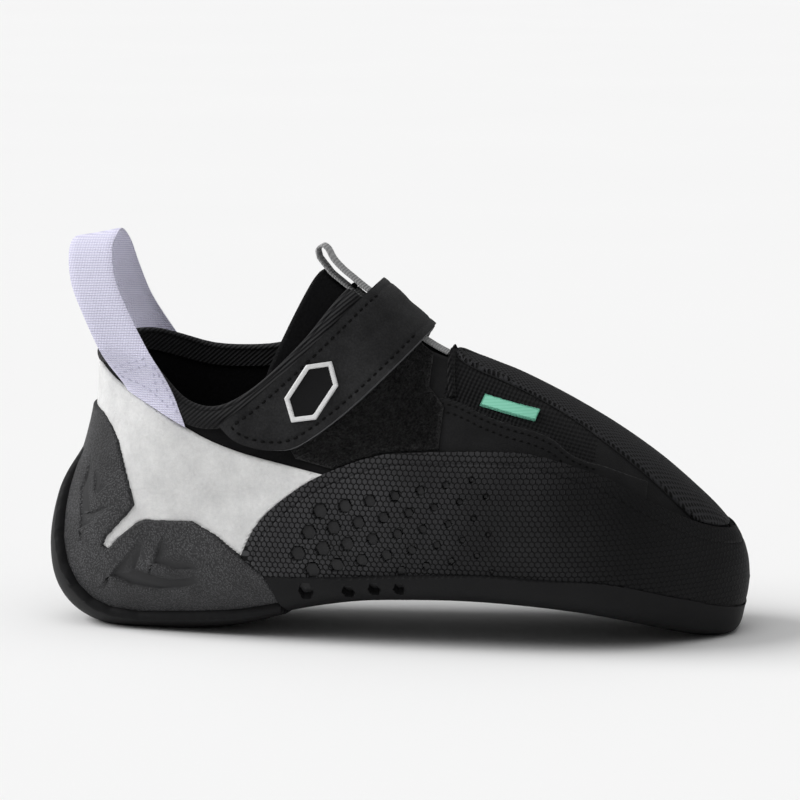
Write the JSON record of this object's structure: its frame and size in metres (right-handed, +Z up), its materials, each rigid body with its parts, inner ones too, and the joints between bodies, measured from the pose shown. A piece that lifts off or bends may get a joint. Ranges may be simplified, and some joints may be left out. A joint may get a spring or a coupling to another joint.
{
  "type": "climbing shoe",
  "caption": "Downturned climbing shoe for the right foot, closed by a strap over the instep, with a rubber rand and heel cup, a heel loop and an empty inside",
  "frame": {"origin": "on the floor, in the middle of the flat spot under the heel", "axes": "+X from the heel to the toe, +Y to the medial side (big toe), +Z up; the shoe stands on its heel and toe"},
  "size_m": [0.2437, 0.0908, 0.1377],
  "materials": {
    "upper": "satin",
    "tongue": "matte",
    "insole": "matte",
    "outsole": "satin",
    "side_rand": "matte",
    "heel_cup": "matte",
    "heel_strip": "matte",
    "heel_counter": "matte",
    "toe_patch": "matte",
    "collar_binding": "matte",
    "loop_patch": "matte",
    "strap": "satin",
    "strap_badge": "satin",
    "tongue_webbing": "matte",
    "heel_loop": "matte",
    "label": "matte"
  },
  "bodies": {
    "root": {"upper": "upper", "tongue": "tongue", "insole": "insole", "outsole": "outsole", "side_rand": "side_rand", "heel_cup": "heel_cup", "heel_strip": "heel_strip", "heel_counter": "heel_counter", "toe_patch": "toe_patch", "collar_binding": "collar_binding", "loop_patch": "loop_patch", "strap": "strap", "strap_badge": "strap_badge", "tongue_webbing": "tongue_webbing", "heel_loop": "heel_loop", "label": "label"}
  },
  "joints": []
}
